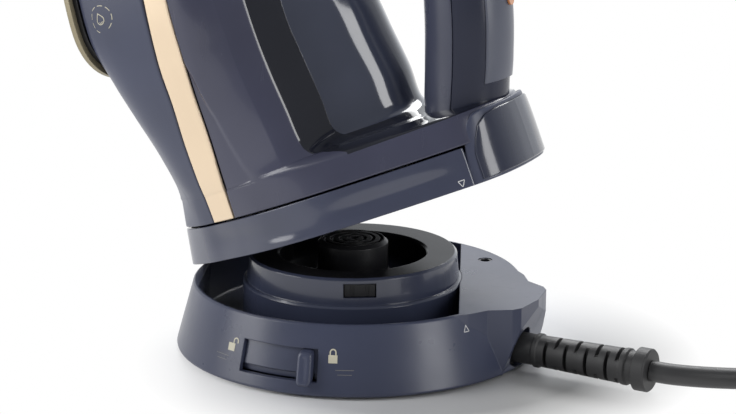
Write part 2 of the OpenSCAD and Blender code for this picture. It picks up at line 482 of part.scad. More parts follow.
// Wall from t = -w to w, d1 outside and d0 inside, z0 up to the arch moved in by m
module cap_wall(w, nu, nv, d1, d0, z0, m, r) {
    wall([for (j = [0:nv], i = [0:nu]) let (t = w * (2 * i / nu - 1), x = cap_pt(t, 0, 0)[0],
            z1 = lookup(x - m, cap_arch) - m / 2)
            cap_pt(t, d1 - r * pow(j / nv, 5), z0 + (z1 - z0) * j / nv)],
        [for (j = [0:nv], i = [0:nu]) let (t = w * (2 * i / nu - 1), x = cap_pt(t, 0, 0)[0],
            z1 = lookup(x - m, cap_arch) - m / 2)
            cap_pt(t, d0, z0 + (z1 - z0) * j / nv)], nu, nv);
}
module rear_cap() color(navy) iron_frame() cap_wall(5.08, 32, 6, 0, -2.4, 1.6, 0, 0.8);
module cap_panel() color(gloss) iron_frame() cap_wall(4.3, 26, 5, 0.9, 0.06, 2.6, 3, 0.5);
module handle_shell() color(navy) difference() {
    iron_frame() handle_wall(-112, 112, 20, 0, 12, 34, 0, grip_t);
    // openings for the buttons' collar and for the lever's track
    handle_frame(7.6) rotate([0, 0, 90]) {
        for (y = [-9, 11]) translate([0, y, -6]) cylinder(r = 9.02, h = 14);
        translate([-8.22, -9, -6]) cube([16.44, 20, 14]);
    }
    handle_frame(9.2) translate([-4.02, -11.02, -6]) cube([8.04, 22.04, 14]);
}
module handle_grip() color(black) iron_frame() handle_wall(112.8, 247.2, 12, 0, 12, 34, 0, grip_t);
module grip_inlay() color(black) iron_frame() handle_wall(-30, 30, 6, 1.2, 6.4, 20, -0.9, -0.05);
module button_collar() color(black) handle_frame(7.6) rotate([0, 0, 90]) difference() {
    union() {
        for (y = [-9, 11]) translate([0, y, -5.2]) cylinder(r = 9, h = 7.6);
        translate([-8.2, -9, -5.2]) cube([16.4, 20, 7.4]);
    }
    for (y = [-9, 11]) translate([0, y, -2.2]) cylinder(r = 7.1, h = 8);
}
module spray_button() color(navy) handle_frame(7.6) rotate([0, 0, 90]) translate([0, 11, 0]) {
    translate([0, 0, 0.9]) cylinder(r = 7, h = 3.8);
    translate([0, 0, 4.7]) cylinder(r1 = 7, r2 = 6, h = 0.6);
}
module burst_button() color(navy) handle_frame(7.6) rotate([0, 0, 90]) translate([0, -9, 0]) {
    translate([0, 0, 0.9]) cylinder(r = 7, h = 3.8);
    translate([0, 0, 4.7]) cylinder(r1 = 7, r2 = 6, h = 0.6);
}
module button_seals() color(black) handle_frame(7.6) rotate([0, 0, 90]) for (y = [-9, 11])
    translate([0, y, -2.1])
    rotate_extrude() polygon([[3, 0], [5, 0], [5, 0.6], [3, 0.6]]);
module lever_track() color(black) handle_frame(9.2) translate([-4, -11, -4.5]) cube([8, 22, 6.1]);
module steam_lever() color(navy) handle_frame(9.2) union() {
    translate([-3.4, -8, 1.7]) cube([6.8, 10, 2]);
    translate([-1.6, -6, 3.7]) cube([3.2, 6, 3]);
}
module dial_seat() color(gloss) iron_frame() translate([90, 0, 107]) rotate([0, 84, 0]) {
    translate([0, 0, 3]) cylinder(r = 22.6, h = 12.4);
    translate([0, 0, 15.4]) cylinder(r1 = 22.6, r2 = 21.6, h = 1);
}
module temperature_dial() color(gloss) iron_frame() translate([90, 0, 107]) rotate([0, 84, 0]) difference() {
    union() {
        translate([0, 0, 16.7]) cylinder(r = 17, h = 5.4);
        translate([0, 0, 22.1]) cylinder(r1 = 17, r2 = 16.2, h = 0.8);
    }
    translate([0, 0, 21.6]) cylinder(r = 11, h = 3);
    for (a = [0:15:345]) rotate([0, 0, a]) translate([17.2, 0, 16]) cylinder(r = 0.7, h = 6.4, $fn = 16);
}
module filler_seat() color(gloss) iron_frame() translate([61.5, 0, 247]) rotate([0, 62, 0]) difference() {
    translate([0, 0, -1]) cylinder(r = 8.2, h = 7.2);
    translate([0, 0, 2]) cylinder(r = 5, h = 6);
}
module filler_cap() color([0.4, 0.45, 0.55]) iron_frame() translate([61.5, 0, 247]) rotate([0, 62, 0]) {
    translate([0, 0, 6.4]) cylinder(r = 7.6, h = 2);
    translate([0, 0, 3.8]) cylinder(r = 3.9, h = 2.8);
    translate([-11.2, -3, 6.6]) cube([5, 6, 1.6]);
    translate([-10.2, 3, 7.4]) rotate([90, 0, 0]) cylinder(r = 1.1, h = 6);
}
module spray_nozzle() color(black) iron_frame() translate([50.5, 0, 266]) rotate([0, 42, 0]) difference() {
    union() {
        cylinder(r = 4.6, h = 5);
        translate([0, 0, 5]) cylinder(r1 = 4.6, r2 = 2.6, h = 4);
    }
    translate([0, 0, 4]) cylinder(r = 0.8, h = 6);
}
module indicator_lens() color([0.8, 0.5, 0.3]) handle_frame(3.2) translate([0, 0, 0.95])
    cylinder(r = 2.6, h = 0.9);
module heel_screws() color(steel) iron_frame() for (p = [[124, 18], [124, -18]]) translate([p[0], p[1],
    1.1]) {
    difference() {
        cylinder(r = 3, h = 0.5);
        translate([-2, -0.4, -0.1]) cube([4, 0.8, 0.4]);
    }
    cylinder(r = 1.6, h = 4);
}

base_shell();
base_plate();
base_feet();
base_screws();
docking_ring();
ring_floor();
slot_liner();
connector_body();
contact_rings();
centre_contact();
dock_sensor();
shelf_bush();
connector_post();
terminal_block();
strain_relief();
cord_run();
cord_coil();
cord_tail();
plug_body();
plug_pins();
lock_ring();
lock_knob();
lock_bolt_front();
lock_bolt_back();
lock_bolt_side();
rest_bead();
soleplate();
sole_skirt();
steam_casting();
thermostat();
lower_shell();
gold_strips();
upper_shell();
water_tank();
heel_band();
heel_plate();
heel_socket();
iron_contacts();
rear_cap();
cap_panel();
handle_shell();
handle_grip();
grip_inlay();
button_collar();
spray_button();
burst_button();
button_seals();
lever_track();
steam_lever();
dial_seat();
temperature_dial();
filler_seat();
filler_cap();
spray_nozzle();
indicator_lens();
heel_screws();
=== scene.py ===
import math

import bmesh
import bpy
import numpy as np
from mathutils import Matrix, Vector


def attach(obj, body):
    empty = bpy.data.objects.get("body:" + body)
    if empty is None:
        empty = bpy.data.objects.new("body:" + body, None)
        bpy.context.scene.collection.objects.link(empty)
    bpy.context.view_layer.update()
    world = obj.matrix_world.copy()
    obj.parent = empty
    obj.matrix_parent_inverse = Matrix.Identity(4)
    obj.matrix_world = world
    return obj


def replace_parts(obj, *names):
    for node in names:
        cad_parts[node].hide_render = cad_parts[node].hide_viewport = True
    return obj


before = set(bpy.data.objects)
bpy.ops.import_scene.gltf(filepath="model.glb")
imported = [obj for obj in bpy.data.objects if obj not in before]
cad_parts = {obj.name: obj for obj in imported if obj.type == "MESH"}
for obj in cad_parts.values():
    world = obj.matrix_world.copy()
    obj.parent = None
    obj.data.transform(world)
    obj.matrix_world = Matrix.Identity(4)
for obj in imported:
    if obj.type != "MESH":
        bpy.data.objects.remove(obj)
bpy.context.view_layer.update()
scene = bpy.context.scene
scene.view_settings.view_transform = "Standard"

# ---- Driving sizes, in millimetres and degrees ----
TILT = 21
PIVOT_X = -67
RIM_Z = 28
BASE_R = 75
RIM_R = 67.8
SHELL = 2.2
KNOB_ANGLE = -80.6
BUTTONS_AT = 7.6
BUTTON_ENDS = (-9, 11)

# ---- Camera ----
cam_at = Vector((0.351863, -0.744176, 0.270223))
cam_aim = Vector((0.00408, 0.001648, 0.0574))
cam_data = bpy.data.cameras.new("camera")
cam_data.lens = 101.2
cam_data.sensor_width = 36
cam_data.clip_end = 20
camera = bpy.data.objects.new("camera", cam_data)
camera.location = cam_at
camera.rotation_mode = "QUATERNION"
camera.rotation_quaternion = (cam_aim - cam_at).to_track_quat("-Z", "Y")
scene.collection.objects.link(camera)
scene.camera = camera


# ---- Materials ----
def material(name):
    made = bpy.data.materials.new(name)
    made.use_nodes = True
    tree = made.node_tree
    return made, tree, tree.nodes["Principled BSDF"]


def link(tree, a, b):
    tree.links.new(a, b)


def noise(tree, scale, detail=3.0, stretch=(1, 1, 1)):
    """Noise over the object's own coordinates, which are metres."""
    where = tree.nodes.new("ShaderNodeTexCoord")
    turn = tree.nodes.new("ShaderNodeMapping")
    turn.inputs["Scale"].default_value = stretch
    made = tree.nodes.new("ShaderNodeTexNoise")
    made.inputs["Scale"].default_value = scale
    made.inputs["Detail"].default_value = detail
    link(tree, where.outputs["Object"], turn.inputs["Vector"])
    link(tree, turn.outputs["Vector"], made.inputs["Vector"])
    return made.outputs["Fac"]


def spread(tree, fac, low, high, start=0.3, end=0.7):
    """Maps a factor from start to end onto low to high."""
    made = tree.nodes.new("ShaderNodeMapRange")
    made.inputs["From Min"].default_value = start
    made.inputs["From Max"].default_value = end
    made.inputs["To Min"].default_value = low
    made.inputs["To Max"].default_value = high
    link(tree, fac, made.inputs["Value"])
    return made.outputs["Result"]


def add(tree, a, b):
    made = tree.nodes.new("ShaderNodeMath")
    made.operation = "ADD"
    link(tree, a, made.inputs[0])
    link(tree, b, made.inputs[1])
    return made.outputs["Value"]


def two_tone(tree, fac, dark, light):
    made = tree.nodes.new("ShaderNodeMix")
    made.data_type = "RGBA"
    made.inputs["A"].default_value = (*dark, 1)
    made.inputs["B"].default_value = (*light, 1)
    link(tree, fac, made.inputs["Factor"])
    return made.outputs["Result"]


def bump(tree, shader, height, depth, round_edges):
    made = tree.nodes.new("ShaderNodeBump")
    made.inputs["Strength"].default_value = 0.6
    made.inputs["Distance"].default_value = depth
    link(tree, height, made.inputs["Height"])
    if round_edges:
        soft = tree.nodes.new("ShaderNodeBevel")
        soft.samples = 4
        soft.inputs["Radius"].default_value = round_edges
        link(tree, soft.outputs["Normal"], made.inputs["Normal"])
    link(tree, made.outputs["Normal"], shader.inputs["Normal"])


def finish(name, color, rough, grain=1400.0, depth=0.00002, vary=0.12, coat=0.0, metal=0.0,
           streak=(1, 1, 1), edges=0.0004, ior=1.5):
    """Moulded or cast surface: slow colour drift, roughness drift, rubbed streaks and a fine grain."""
    made, tree, shader = material(name)
    slow = noise(tree, 22, 4)
    dark = [c * (1 - vary) for c in color]
    light = [min(c * (1 + vary), 1) for c in color]
    link(tree, two_tone(tree, spread(tree, slow, 0, 1), dark, light), shader.inputs["Base Color"])
    base = spread(tree, noise(tree, 55, 5), rough * 0.88, rough * 1.12)
    rubbed = spread(tree, noise(tree, 160, 6, (1, 1, 0.08)), 0, 0.08, 0.6, 0.8)
    link(tree, add(tree, base, rubbed), shader.inputs["Roughness"])
    bump(tree, shader, noise(tree, grain, 2, streak), depth, edges)
    shader.inputs["Metallic"].default_value = metal
    shader.inputs["IOR"].default_value = ior
    shader.inputs["Coat Weight"].default_value = coat
    shader.inputs["Coat Roughness"].default_value = 0.06
    return made


def painted_dark_inside(made, centre, start, end, dark):
    """Within a radius of a vertical axis the surface is painted darker and duller, as painted shade and
    reflection. Sizes are metres.
    """
    tree = made.node_tree
    shader = tree.nodes["Principled BSDF"]
    where = tree.nodes.new("ShaderNodeTexCoord")
    level = tree.nodes.new("ShaderNodeVectorMath")
    level.operation = "MULTIPLY"
    level.inputs[1].default_value = (1, 1, 0)
    away = tree.nodes.new("ShaderNodeVectorMath")
    away.operation = "DISTANCE"
    away.inputs[1].default_value = centre
    link(tree, where.outputs["Object"], level.inputs[0])
    link(tree, level.outputs["Vector"], away.inputs[0])
    for socket, inner, outer in (("Specular IOR Level", 0.1, 0.5), ("Coat Weight", 0, 0.4)):
        link(tree, spread(tree, away.outputs["Value"], inner, outer, start, end), shader.inputs[socket])
    mix = tree.nodes.new("ShaderNodeMix")
    mix.data_type = "RGBA"
    mix.inputs["A"].default_value = (*dark, 1)
    link(tree, spread(tree, away.outputs["Value"], 0, 1, start, end), mix.inputs["Factor"])
    link(tree, shader.inputs["Base Color"].links[0].from_socket, mix.inputs["B"])
    link(tree, mix.outputs["Result"], shader.inputs["Base Color"])


navy = finish("satin_navy", (0.047, 0.054, 0.092), 0.34)
base_navy = finish("base_navy", (0.043, 0.05, 0.086), 0.3, edges=0.0006)
gloss = finish("gloss_navy", (0.026, 0.03, 0.052), 0.17, depth=0.000006, coat=0.5)
side_gloss = finish("side_gloss", (0.046, 0.048, 0.08), 0.24, depth=0.000008, coat=0.25)
band_gloss = finish("band_gloss", (0.045, 0.051, 0.086), 0.2, depth=0.000008, coat=0.4)
# Near-black finish: painted shade and painted dark reflection for the hand gap's well and the ring's floor
well_painted_shade = finish("well_painted_shade", (0.01, 0.011, 0.018), 0.09, depth=0.000004, coat=0.6)
deck = finish("deck_gloss", (0.042, 0.048, 0.074), 0.12, depth=0.000004, coat=0.8)
handle_gloss = finish("handle_gloss", (0.017, 0.02, 0.038), 0.24, depth=0.000006, ior=1.36)
inlay_satin = finish("inlay_satin", (0.075, 0.082, 0.112), 0.33, grain=2400, depth=0.00002)
black = finish("black_plastic", (0.011, 0.011, 0.013), 0.36, grain=2200)
ring_gloss = finish("ring_gloss", (0.036, 0.042, 0.071), 0.2, depth=0.000006, coat=0.4, edges=0.0006)
# The ring's top and its well are painted darker than its side, a painted reflection of the dark iron above
# them
painted_dark_inside(ring_gloss, (-0.002, 0, 0), 0.0418, 0.0423, (0.008, 0.008, 0.01))
rubber = finish("rubber", (0.022, 0.022, 0.023), 0.52, grain=2600, depth=0.00004, vary=0.2)
rubber_grip = finish("soft_grip", (0.046, 0.051, 0.081), 0.3, grain=2600, depth=0.00002)
cord_skin = finish("cord_skin", (0.03, 0.03, 0.031), 0.46, grain=1800, depth=0.00003, vary=0.15, edges=0)
gold = finish("champagne", (0.8, 0.64, 0.46), 0.36, depth=0.00001, vary=0.03, metal=0.35, streak=(1, 1, 0.05))
olive = finish("ceramic_olive", (0.3, 0.26, 0.17), 0.4, grain=900, vary=0.08, metal=0.2)
steel = finish("brushed_steel", (0.6, 0.6, 0.62), 0.28, depth=0.00001, vary=0.05, metal=1.0,
               streak=(1, 1, 0.05))
casting = finish("cast_alloy", (0.42, 0.42, 0.44), 0.5, grain=700, depth=0.00008, metal=0.9)
terminal = finish("terminal_plastic", (0.66, 0.65, 0.58), 0.45)
print_ink = finish("pad_print", (0.52, 0.49, 0.38), 0.5, grain=3000, vary=0.1, edges=0)
rule_ink = finish("rule_print", (0.24, 0.23, 0.2), 0.5, grain=3000, vary=0.1, edges=0)
white_ink = finish("white_print", (0.62, 0.62, 0.62), 0.5, grain=3000, vary=0.06, edges=0)
strap = finish("strap_weave", (0.02, 0.02, 0.024), 0.8, grain=1500, depth=0.0002, vary=0.3, edges=0)
lens = finish("amber_lens", (0.55, 0.2, 0.06), 0.15, coat=0.6)
tank, tank_tree, tank_shader = material("smoked_tank")
smoke_drift = spread(tank_tree, noise(tank_tree, 30), 0, 1)
smoke = two_tone(tank_tree, smoke_drift, (0.2, 0.23, 0.29), (0.26, 0.3, 0.37))
link(tank_tree, smoke, tank_shader.inputs["Base Color"])
link(tank_tree, spread(tank_tree, noise(tank_tree, 90), 0.12, 0.22), tank_shader.inputs["Roughness"])
tank_shader.inputs["Transmission Weight"].default_value = 0.5

node_finish = {
    base_navy: ["base_shell", "lock_knob", "slot_liner"],
    ring_gloss: ["docking_ring"],
    # The ring's floor is painted near-black, as painted shade under the iron
    well_painted_shade: ["ring_floor"],
    gloss: ["dial_seat", "temperature_dial", "filler_seat"],
    navy: ["spray_button", "burst_button", "steam_lever"],
    black: ["base_plate", "connector_body", "dock_sensor", "shelf_bush", "connector_post",
            "lock_ring", "lock_bolt_front", "lock_bolt_back", "lock_bolt_side", "sole_skirt", "heel_plate",
            "heel_socket", "button_collar", "lever_track", "spray_nozzle", "plug_body"],
    rubber: ["base_feet", "strain_relief", "rest_bead", "button_seals"],
    steel: ["base_screws", "contact_rings", "centre_contact", "thermostat", "iron_contacts", "heel_screws",
            "plug_pins"],
    olive: ["soleplate"],
    casting: ["steam_casting"],
    terminal: ["terminal_block"],
    tank: ["water_tank", "filler_cap"],
    lens: ["indicator_lens"],
}
for finish_used, names in node_finish.items():
    for name in names:
        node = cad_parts[name]
        node.data.materials.clear()
        node.data.materials.append(finish_used)


# ---- Shared shape tools, in millimetres ----
def mesh_piece(name, points, faces, finish_used, body, sharp=35):
    mesh = bpy.data.meshes.new(name)
    mesh.from_pydata([tuple(p) for p in np.asarray(points) / 1000], [], faces)
    work = bmesh.new()
    work.from_mesh(mesh)
    bmesh.ops.recalc_face_normals(work, faces=work.faces)
    work.to_mesh(mesh)
    work.free()
    mesh.polygons.foreach_set("use_smooth", [True] * len(mesh.polygons))
    mesh.set_sharp_from_angle(angle=math.radians(sharp))
    mesh.materials.append(finish_used)
    piece = bpy.data.objects.new(name, mesh)
    scene.collection.objects.link(piece)
    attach(piece, body)
    return piece


def wall(name, outside, inside, finish_used, body="iron", sharp=50):
    """Closed wall between two grids of points, with its four borders joined."""
    rows, cols = outside.shape[:2]
    half = rows * cols
    ids = np.arange(half).reshape(rows, cols)
    a, b, c, d = ids[:-1, :-1], ids[1:, :-1], ids[1:, 1:], ids[:-1, 1:]
    top = np.stack([a, b, c, d], -1).reshape(-1, 4)
    faces = top.tolist() + (top[:, ::-1] + half).tolist()
    rim = np.concatenate([ids[0, :], ids[1:, -1], ids[-1, -2::-1], ids[-2:0:-1, 0]])
    after = np.roll(rim, -1)
    faces += np.stack([rim, after, after + half, rim + half], -1).tolist()
    points = np.concatenate([outside.reshape(-1, 3), inside.reshape(-1, 3)])
    return mesh_piece(name, points, faces, finish_used, body, sharp)


def lines(start, end, count, edge, knots=()):
    """Grid lines from start to end, closer at both borders, and through the knots."""
    found = np.concatenate([np.linspace(start, end, count), [start + edge * 0.3, start + edge],
                            [end - edge * 0.3, end - edge], [k for k in knots if start < k < end]])
    return np.unique(found.round(5))


def lip(us, vs, size):
    """How far the grid sinks at its borders, for a small rounded edge."""
    drop = np.zeros((len(vs), len(us)))
    for k, share in ((1, 0.35), (0, 1.0)):
        for border in (drop[k, :], drop[-1 - k, :], drop[:, k], drop[:, -1 - k]):
            np.maximum(border, share, out=border)
    return drop * size


def spline(p, q, r, e, t):
    """Catmull-Rom curve from q to r, with p before and e after."""
    t = t[..., None]
    square, cube = 2 * p - 5 * q + 4 * r - e, 3 * q - p - 3 * r + e
    return 0.5 * (2 * q + (r - p) * t + square * t * t + cube * t ** 3)


def along(table, u):
    """Spline through a list of points."""
    table = np.asarray(table, float)
    u = np.asarray(u, float)
    last = len(table) - 1
    i = np.floor(np.clip(u, 0, last - 0.0001)).astype(int)
    parts = [table[np.clip(i + k, 0, last)] for k in (-1, 0, 1, 2)]
    return spline(*parts, np.clip(u, 0, last) - i)


def iron_place(p):
    """Moves points from the iron's own frame, resting tilted over the base, to the shared frame."""
    c, s = math.cos(math.radians(TILT)), math.sin(math.radians(TILT))
    return np.stack([c * p[..., 0] - s * p[..., 2] + PIVOT_X, p[..., 1],
                     s * p[..., 0] + c * p[..., 2] + RIM_Z], -1)


def unit(v):
    return v / np.maximum(np.linalg.norm(v, axis=-1, keepdims=True), 1e-9)


# ---- Cord: in along the run, two spiral layers of three turns, and out to the plug ----
coil = np.array([243.3, -17.4])
run_points = [(131.4, -13.1, 9.6), (140, -12.6, 9.2), (152, -7.5, 8.2), (166, 1.5, 6.8), (182, 13, 5.4),
              (199, 25, 4.4)]
plug_points = [(290, 23, 13.2), (307, 17, 15.4), (323, 14.4, 17.5), (340, 14, 18)]
coil_in, coil_out = 33.0, 57.6
layer_low, layer_high = 4.2, 12.5
# Degrees turned at the end of the lower layer, of the step up and of the upper layer
inward, risen, turned_all = 1080, 1150, 2215.0
turn_step, coil_start = 17.58, 115
route = [np.array(p, float) for p in run_points]
for turned in np.arange(0, turned_all + 1, turn_step):
    if turned < inward:
        radius, height = coil_out - (coil_out - coil_in) * turned / inward, layer_low
    elif turned < risen:
        share = (turned - inward) / (risen - inward)
        radius, height = coil_in, layer_low + (layer_high - layer_low) * share * share * (3 - 2 * share)
    else:
        radius = coil_in + (coil_out - coil_in) * (turned - risen) / (turned_all - risen)
        height = layer_high
    at = math.radians(coil_start - turned)
    route.append(np.array([coil[0] + radius * math.cos(at), coil[1] + radius * math.sin(at), height]))
route += [np.array(p, float) for p in plug_points]
fine = along(route, np.linspace(0, len(route) - 1, (len(route) - 1) * 5 + 1))
cord_curve = bpy.data.curves.new("mains_cord", "CURVE")
cord_curve.dimensions = "3D"
cord_curve.bevel_depth = 0.0041
cord_curve.bevel_resolution = 6
cord_curve.use_fill_caps = True
strand = cord_curve.splines.new("POLY")
strand.points.add(len(fine) - 1)
for point, place in zip(strand.points, fine / 1000):
    point.co = (*place, 1)
cord_curve.materials.append(cord_skin)
mains_cord = bpy.data.objects.new("mains_cord", cord_curve)
scene.collection.objects.link(mains_cord)
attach(mains_cord, "base")
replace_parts(mains_cord, "cord_run", "cord_coil", "cord_tail")

# Strap that holds the coil's turns together
tie_loop = [(28.2, 3), (28.2, 14), (29.6, 16.6), (32, 17.2), (45, 17.3), (58.6, 17.2), (61, 16.6), (62.3, 14),
            (62.3, 3), (61, 0.6), (58, 0.05), (45, 0.05), (32, 0.05), (29.6, 0.6)]
tie_in = [(28.8, 3.2), (28.8, 13.8), (30, 15.9), (32.2, 16.7), (45, 16.75), (58.4, 16.7), (60.6, 15.9),
          (61.7, 13.8), (61.7, 3.2), (60.5, 0.9), (58, 0.09), (45, 0.09), (32, 0.09), (30, 0.9)]
tie_points = []
tie_cuts = 9
for angle in np.linspace(-3, 3, tie_cuts):
    turn = math.radians(angle * 0.9 - 20)
    for loop in (tie_loop, tie_in):
        for r, z in loop:
            tie_points.append((coil[0] + r * math.cos(turn), coil[1] + r * math.sin(turn), z))
size = len(tie_loop)
tie_faces = []
for k in range(tie_cuts - 1):
    for i in range(size):
        n = (i + 1) % size
        p = k * 2 * size
        q = p + 2 * size
        tie_faces.append((p + i, p + n, q + n, q + i))
        tie_faces.append((p + size + i, q + size + i, q + size + n, p + size + n))
for p in (0, 2 * size * (tie_cuts - 1)):
    for i in range(size):
        n = (i + 1) % size
        tie_faces.append((p + i, p + size + i, p + size + n, p + n))
mesh_piece("cord_tie", tie_points, tie_faces, strap, "base")


# ---- Slider knob, and the strip that travels with it behind its slot ----
def base_r(z):
    """Radius of the base's outer wall at height z."""
    return BASE_R + (RIM_R - BASE_R) * (z - 2.2) / (RIM_Z - 2.8)


knob_points, knob_faces = [], []
around = 48
knob_half_w, knob_half_h, knob_z, knob_bend_r = 2.9, 6.4, 11.9, 74
# How far each layer of the knob is drawn in at its edge, and how far it stands out of the wall
layers = [(0, -1.2), (0, 2.5), (0.15, 3.0), (0.5, 3.4), (1.1, 3.6), (1.9, 3.5), (2.5, 3.3)]
for sunk, rise in layers:
    for k in range(around):
        a = 2 * math.pi * k / around
        c, s = math.cos(a), math.sin(a)
        x = (knob_half_w - sunk) * math.copysign(abs(c) ** 0.45, c)
        z = knob_z + (knob_half_h - sunk) * math.copysign(abs(s) ** 0.3, s)
        turn = math.radians(KNOB_ANGLE) + x / knob_bend_r
        r = base_r(z) + rise
        knob_points.append((r * math.cos(turn), r * math.sin(turn), z))
for k in range(len(layers) - 1):
    for i in range(around):
        n = (i + 1) % around
        below, above = k * around, (k + 1) * around
        knob_faces.append((below + i, below + n, above + n, above + i))
knob_faces.append(tuple(range(around)))
knob_faces.append(tuple(range(around * (len(layers) - 1), around * len(layers))))
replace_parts(mesh_piece("slider_knob", knob_points, knob_faces, base_navy, "lock_slider"), "lock_knob")
turns, heights = np.meshgrid(np.radians(np.linspace(-104.5, -56.5, 60)), np.linspace(6.5, 8.8, 5))
strip_faces = [np.stack([r * np.cos(turns), r * np.sin(turns), heights], -1) for r in (70.4, 69.9)]
wall("slider_strip", *strip_faces, base_navy, "lock_slider")

# ---- Body of the iron ----
# From heel to nose: height, then [x, half width] from the sole side to the crown
stations = [
    (1.6, [(0, 0), (1.3, 12), (5, 22), (20, 33.5), (31.4, 38.7), (44, 44.1), (60, 49.3),
           (80, 49.6), (103, 43.5), (129, 34.5), (146.5, 24.5), (152.5, 0)]),
    (17, [(3, 0), (4.3, 12), (8, 22), (21, 33), (31.4, 38.1), (44, 43.6), (60, 48.3),
           (80, 48.2), (103, 42.5), (129, 33.5), (145.5, 23.6), (151.5, 0)]),
    (27.6, [(4, 0), (5.2, 12.5), (8.6, 23), (21, 34.5), (32.1, 39.6), (44.8, 44.8), (60, 48),
           (78, 47.5), (100, 42), (127, 33), (144, 23), (150, 0)]),
    (29.6, [(4, 0), (5.2, 13), (8.6, 23.6), (21, 35), (32.2, 40.1), (44.9, 45.1), (59, 48),
           (75.5, 47), (91, 42), (113, 31), (130, 20), (137, 0)]),
    (31, [(4, 0), (5.1, 13), (8.5, 24), (21, 35.5), (32.4, 40.6), (45.1, 45.6), (58.6, 48),
           (74, 46.6), (84.5, 42), (99, 28.5), (117, 17), (123, 0)]),
    (37, [(3.7, 0), (4.6, 13.5), (8, 25.5), (20, 37), (32.9, 42.1), (45.9, 46.6), (58, 48),
           (72.5, 46.2), (80, 41.5), (88.5, 26.5), (107, 15), (113.5, 0)]),
    (52, [(3, 0), (3.5, 15), (6.5, 29), (18.5, 40), (34.7, 45.2), (47.8, 48.7), (57, 49.5),
           (71, 46.5), (78.5, 41.5), (87, 26), (105.5, 15.5), (112.5, 0)]),
    (68, [(3, 0), (3.3, 17), (5.2, 33), (17, 43.5), (37.4, 48.5), (49.2, 50.8), (56.5, 51),
           (69, 47), (77, 41.5), (85.5, 26), (103, 16), (110.5, 0)]),
    (84, [(5.6, 0), (5.7, 19), (6.8, 37.5), (17, 47), (38.8, 50.8), (50.9, 52.5), (57.5, 52.3),
           (68.5, 47.5), (76.5, 41.5), (84, 26), (101, 16), (108.5, 0)]),
    (103, [(8.7, 0), (8.8, 22), (9.6, 44.5), (18, 50.5), (42, 52.6), (52.5, 53.2), (60, 52.8),
           (68.8, 48), (77, 41.5), (84.5, 26.5), (98, 16), (104, 0)]),
    (130, [(11.4, 0), (11.5, 21.5), (12.2, 43.5), (20, 48.8), (45.5, 51), (55, 51.2), (62, 50.5),
           (69.5, 46), (77, 39.5), (83.5, 26), (93, 16), (98, 0)]),
    (160, [(14.4, 0), (14.5, 18.5), (15.1, 37.5), (22, 43.7), (48, 45.6), (57, 45.5), (63, 44.6),
           (69, 40.5), (75.5, 35), (81, 24.5), (88, 15), (92, 0)]),
    (190, [(17.4, 0), (17.5, 15), (18.1, 30.2), (25, 35.6), (49, 37), (57.5, 36.6), (62.5, 35.6),
           (67.5, 32.5), (73, 28.5), (78, 20.5), (83.5, 12.5), (86.5, 0)]),
    (220, [(20.4, 0), (20.5, 10.5), (21.1, 21.5), (27, 26), (48, 27), (55.5, 26.4), (60, 25.5),
           (64, 23.5), (68.5, 20.5), (73, 15), (77, 9), (79, 0)]),
    (248, [(23.2, 0), (23.3, 6), (23.7, 12), (28, 15.2), (43, 16), (49.5, 15.4), (53, 14.6),
           (56, 13.2), (59.5, 11.3), (63, 8.4), (65.5, 5), (66.5, 0)]),
    (270, [(25.4, 0), (25.5, 3.2), (25.8, 6), (28.5, 8), (36.5, 8.4), (41, 8), (43.3, 7.5),
           (45.4, 6.8), (47.6, 5.8), (49.6, 4.3), (51, 2.6), (51.6, 0)]),
    (279, [(26.3, 0), (26.4, 1.6), (26.5, 3), (28.2, 4), (32.4, 4.3), (35.4, 4.1), (37, 3.8),
           (38.6, 3.4), (40, 2.9), (41.3, 2.2), (42.2, 1.3), (42.6, 0)]),
]
ROUND = 22
NOSE = 16
net = np.array([[(x, -y, h) for x, y in half] + [(x, y, h) for x, y in half[10:0:-1]]
                for h, half in stations], float)
# The skin's lower corner is drawn in a little more than the exact model's, millimetres by station
for station, pull in ((2, 2.0), (3, 2.3), (4, 2.8), (5, 3.8), (6, 4.4), (7, 4.0), (8, 1.6)):
    for point, along_x, along_y in ((1, 0.3, 0.05), (2, 0.62, 0.78), (3, 0.3, 0.25)):
        net[station, point] += (pull * along_x, pull * along_y, 0)
        net[station, ROUND - point] += (pull * along_x, -pull * along_y, 0)
CREASES = ((7, 0.55), (8, 0.95), (9, 0.95), (13, 0.95), (14, 0.95), (15, 0.55))


def body_row(j, u):
    """One station's outline. The rim and well of the hand gap are creases from station 3 up."""
    i = np.floor(u).astype(int)
    p, q, r, e = (net[j, (i + k) % ROUND] for k in (-1, 0, 1, 2))
    firm = np.clip((j - 2) / 2.0, 0, 1)[..., None]
    after, before = 0, 0
    for knot, share in CREASES:
        after = after + ((i + 1) % ROUND == knot)[..., None] * firm * share
        before = before + (i % ROUND == knot)[..., None] * firm * share
    return spline(p + (2 * q - r - p) * before, q, r, e + (2 * r - q - e) * after, u - i)


def body(u, v):
    """Skin of the iron. The edge of the ledge behind the hand gap is a crease at station 2."""
    v = np.clip(v, 0, NOSE - 0.0001)
    j = np.floor(v).astype(int)
    p, q, r, e = (body_row(np.clip(j + k, 0, NOSE), u) for k in (-1, 0, 1, 2))
    firm = (np.clip((4.4 - np.abs(u % ROUND - ROUND / 2)) / 0.8, 0, 1) * 0.8)[..., None]
    after = (j == 1)[..., None] * firm
    before = (j == 2)[..., None] * firm
    return spline(p + (2 * q - r - p) * before, q, r, e + (2 * r - q - e) * after, v - j)


def body_out(u, v):
    step = np.minimum(v + 0.02, NOSE - 0.001)
    back = np.maximum(v - 0.02, 0)
    return unit(np.cross(body(u + 0.02, v) - body(u - 0.02, v), body(u, step) - body(u, back)))


